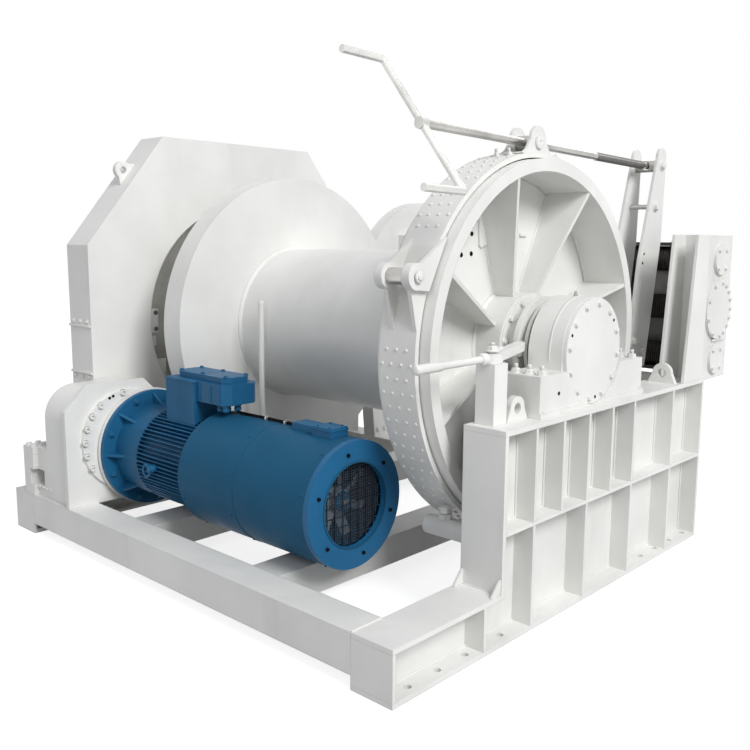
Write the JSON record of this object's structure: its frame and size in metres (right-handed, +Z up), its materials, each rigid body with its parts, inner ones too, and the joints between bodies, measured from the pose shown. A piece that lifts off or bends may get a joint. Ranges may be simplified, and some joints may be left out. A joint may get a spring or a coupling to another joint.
{
  "type": "electric anchor winch",
  "caption": "Electric anchor winch with a rope drum, band brake with hand crank, dog clutch lever, enclosed gearing, fan-cooled motor and rope guide on a welded base frame.",
  "frame": {"origin": "on the floor under the drum bearing, in the mid-plane of the bearing girder", "axes": "+X along the drum axis, away from the gear casing; -Y towards the motor; +Z up"},
  "size_m": [2.526, 2.72, 2.084],
  "materials": {
    "machine_paint": "satin",
    "motor_paint": "satin",
    "bare_steel": "satin",
    "dark_steel": "oiled",
    "roller_steel": "dull"
  },
  "bodies": {
    "base": {"girder_flanges": "machine_paint", "gear_foot_beam": "machine_paint", "frame_rails": "machine_paint", "cross_members": "machine_paint", "girder_web": "machine_paint", "girder_end_plates": "machine_paint", "girder_shelf": "machine_paint", "girder_stiffeners": "machine_paint", "lifting_lugs": "machine_paint", "bearing_housing": "machine_paint", "bearing_cover": "machine_paint", "casing_front_plate": "machine_paint", "casing_shell": "machine_paint", "gear_end_bearing": "machine_paint", "gearbox_case": "machine_paint", "gearbox_cover": "machine_paint", "motor_frame": "motor_paint", "motor_cowl": "motor_paint", "fan_guard": "motor_paint", "terminal_boxes": "motor_paint", "brake_band_upper": "machine_paint", "brake_band_lower": "machine_paint", "band_pins": "bare_steel", "screw_bracket": "machine_paint", "screw_trunnion": "bare_steel", "lever_seat": "machine_paint", "anchor_links": "machine_paint", "clutch_post": "machine_paint", "guide_column": "machine_paint", "guide_end_housings": "machine_paint", "guide_far_plate": "machine_paint", "guide_rods": "bare_steel", "band_rest": "machine_paint", "upright_rod": "machine_paint"},
    "drum": {"drum_shaft": "bare_steel", "drum_barrel": "machine_paint", "drum_flange": "machine_paint", "brake_wheel_rim": "machine_paint", "brake_wheel_web": "machine_paint", "brake_wheel_ribs": "machine_paint", "gear_wheel": "bare_steel"},
    "sleeve": {"clutch_sleeve": "machine_paint"},
    "fan": {"motor_fan": "motor_paint"},
    "crank": {"brake_screw": "bare_steel", "brake_crank": "machine_paint"},
    "lever": {"brake_lever_plates": "machine_paint", "lever_nut": "bare_steel", "lever_pins": "bare_steel"},
    "clutch": {"clutch_lever": "machine_paint"},
    "carriage": {"guide_carriage": "machine_paint"},
    "roller_left": {"rope_roller_left": "roller_steel"},
    "roller_right": {"rope_roller_right": "roller_steel"},
    "guide_shaft": {"guide_screw": "dark_steel"}
  },
  "joints": [
    {"name": "drum_spin", "type": "hinge", "parent": "base", "child": "drum", "pos_m": [0, 0, 0.995], "axis": [1, 0, 0], "continuous": true},
    {"name": "clutch_swing", "type": "hinge", "parent": "base", "child": "clutch", "pos_m": [-0.03, -0.58, 1], "axis": [0, 0, 1], "range_deg": [-1.72, 0]},
    {"name": "clutch_shift", "type": "slide", "parent": "drum", "child": "sleeve", "axis": [1, 0, 0], "range_m": [0, 0.0125]},
    {"name": "fan_spin", "type": "hinge", "parent": "base", "child": "fan", "pos_m": [-0.6, -0.8, 0.432], "axis": [1, 0, 0], "continuous": true},
    {"name": "brake_screw", "type": "hinge", "parent": "base", "child": "crank", "pos_m": [-0.295, 0, 1.813], "axis": [0, 0.9998, -0.0192], "range_deg": [0, 720]},
    {"name": "brake_lever", "type": "hinge", "parent": "base", "child": "lever", "pos_m": [-0.295, 0.968, 0.88], "axis": [1, 0, 0], "range_deg": [-1.52, 0]},
    {"name": "guide_travel", "type": "slide", "parent": "base", "child": "carriage", "axis": [1, 0, 0], "range_m": [-1.25, 0]},
    {"name": "guide_screw", "type": "hinge", "parent": "base", "child": "guide_shaft", "pos_m": [-0.9, 1.32, 1.087], "axis": [1, 0, 0], "range_deg": [0, 3601]},
    {"name": "roller_left_spin", "type": "hinge", "parent": "carriage", "child": "roller_left", "pos_m": [-0.49, 1.435, 1.087], "axis": [0, 0, 1], "continuous": true},
    {"name": "roller_right_spin", "type": "hinge", "parent": "carriage", "child": "roller_right", "pos_m": [-0.27, 1.435, 1.087], "axis": [0, 0, 1], "continuous": true}
  ],
  "couplings": [
    {"joint": "clutch_shift", "follows": "clutch_swing", "m_per_rad": -0.41},
    {"joint": "brake_lever", "follows": "brake_screw", "ratio": -0.0020942},
    {"joint": "guide_screw", "follows": "guide_travel", "rad_per_m": -50.266}
  ]
}
